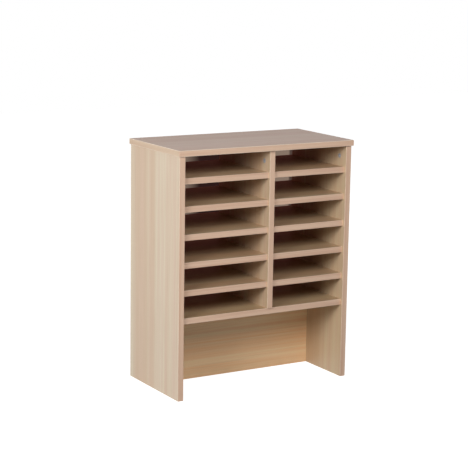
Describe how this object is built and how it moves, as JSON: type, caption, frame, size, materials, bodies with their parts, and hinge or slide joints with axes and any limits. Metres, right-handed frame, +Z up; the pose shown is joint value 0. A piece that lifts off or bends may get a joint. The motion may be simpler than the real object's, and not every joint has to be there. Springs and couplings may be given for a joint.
{
  "type": "letter sorter",
  "caption": "Free-standing beech-effect letter sorter with two columns of open pigeonholes over a full-width open bay, joined by cam fittings.",
  "frame": {"origin": "centre of the overall box, on the floor under the sides", "axes": "+Z up, -Y towards the user who posts letters in the pigeonholes, +X to that user's right"},
  "size_m": [0.61, 0.317, 0.75],
  "materials": {
    "beech_melamine": "satin beech-effect melamine on chipboard",
    "beech_edging": "satin beech-effect plastic edging",
    "zinc_cam": "die-cast zinc, dull",
    "steel_fitting": "zinc-plated steel"
  },
  "bodies": {
    "root": {"base_shelf": "beech_melamine", "base_shelf_cam_bolts": "steel_fitting", "base_shelf_cams": "zinc_cam", "base_shelf_edging": "beech_edging", "divider": "beech_melamine", "divider_cams": "zinc_cam", "divider_edging": "beech_edging", "divider_screws": "steel_fitting", "left_side": "beech_melamine", "left_side_cams": "zinc_cam", "left_side_edging": "beech_edging", "lower_panel": "beech_melamine", "lower_panel_cam_bolts": "steel_fitting", "lower_panel_cams": "zinc_cam", "right_side": "beech_melamine", "right_side_cams": "zinc_cam", "right_side_edging": "beech_edging", "shelf_left_1": "beech_melamine", "shelf_left_1_edging": "beech_edging", "shelf_left_2": "beech_melamine", "shelf_left_2_edging": "beech_edging", "shelf_left_3": "beech_melamine", "shelf_left_3_edging": "beech_edging", "shelf_left_4": "beech_melamine", "shelf_left_4_edging": "beech_edging", "shelf_left_5": "beech_melamine", "shelf_left_5_edging": "beech_edging", "shelf_right_1": "beech_melamine", "shelf_right_1_edging": "beech_edging", "shelf_right_2": "beech_melamine", "shelf_right_2_edging": "beech_edging", "shelf_right_3": "beech_melamine", "shelf_right_3_edging": "beech_edging", "shelf_right_4": "beech_melamine", "shelf_right_4_edging": "beech_edging", "shelf_right_5": "beech_melamine", "shelf_right_5_edging": "beech_edging", "top_cam_bolts": "steel_fitting", "top_edging": "beech_edging", "top_panel": "beech_melamine"}
  },
  "joints": []
}
